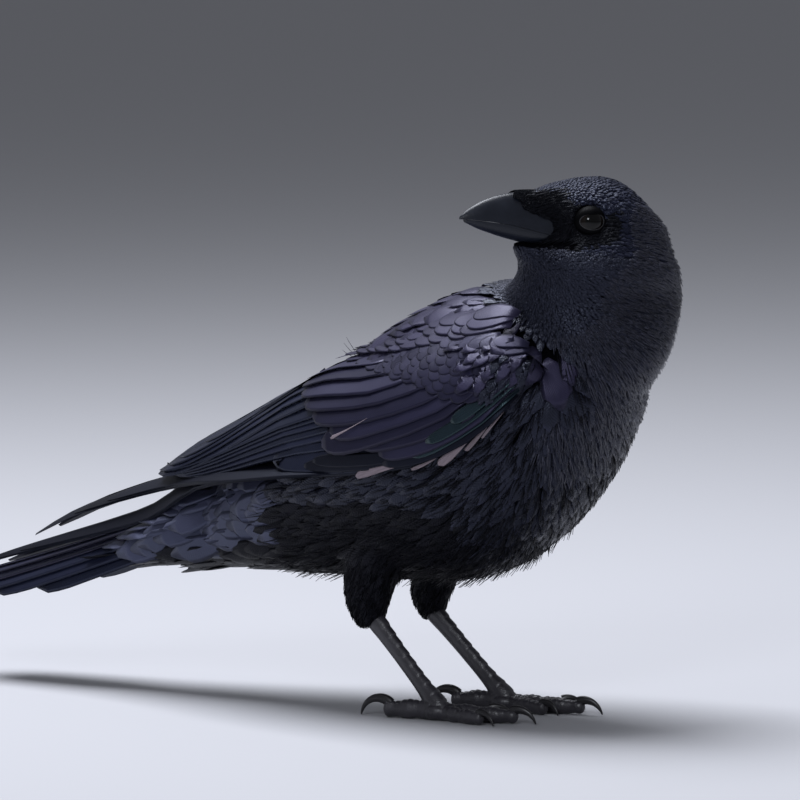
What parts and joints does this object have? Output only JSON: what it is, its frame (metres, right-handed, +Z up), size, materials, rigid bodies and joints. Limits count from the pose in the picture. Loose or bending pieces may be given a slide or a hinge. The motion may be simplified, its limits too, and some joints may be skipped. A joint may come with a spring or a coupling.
{
  "type": "crow",
  "caption": "Life-size all-black crow standing upright with folded wings and tail, its head turned back over its right shoulder.",
  "frame": {"origin": "middle of the bird's bounding box at floor level, under its soles", "axes": "+X from the tail to the breast, +Y to the bird's left, +Z up; the head looks back over the right shoulder, towards -X and -Y"},
  "size_m": [0.364, 0.1276, 0.2366],
  "materials": {
    "plumage": "soft black contour feathers with a faint violet-blue sheen",
    "quills": "smooth glossy black flight and tail feathers with a blue-violet sheen",
    "horn": "satin slate-black horn",
    "leg_scale": "scaly satin black skin",
    "eye": "clear wet gloss over a dark brown iris"
  },
  "bodies": {
    "root": {"bill_lower": "horn", "bill_upper": "horn", "claw_left_hallux": "horn", "claw_left_inner": "horn", "claw_left_middle": "horn", "claw_left_outer": "horn", "claw_right_hallux": "horn", "claw_right_inner": "horn", "claw_right_middle": "horn", "claw_right_outer": "horn", "eye_left": "eye", "eye_right": "eye", "foot_left": "leg_scale", "foot_right": "leg_scale", "head": "plumage", "neck": "plumage", "tail": "quills", "tarsus_left": "leg_scale", "tarsus_right": "leg_scale", "thigh_left": "plumage", "thigh_right": "plumage", "trunk": "plumage", "wing_left_coverts": "plumage", "wing_left_primaries": "quills", "wing_left_secondaries": "quills", "wing_right_coverts": "plumage", "wing_right_primaries": "quills", "wing_right_secondaries": "quills"}
  },
  "joints": []
}
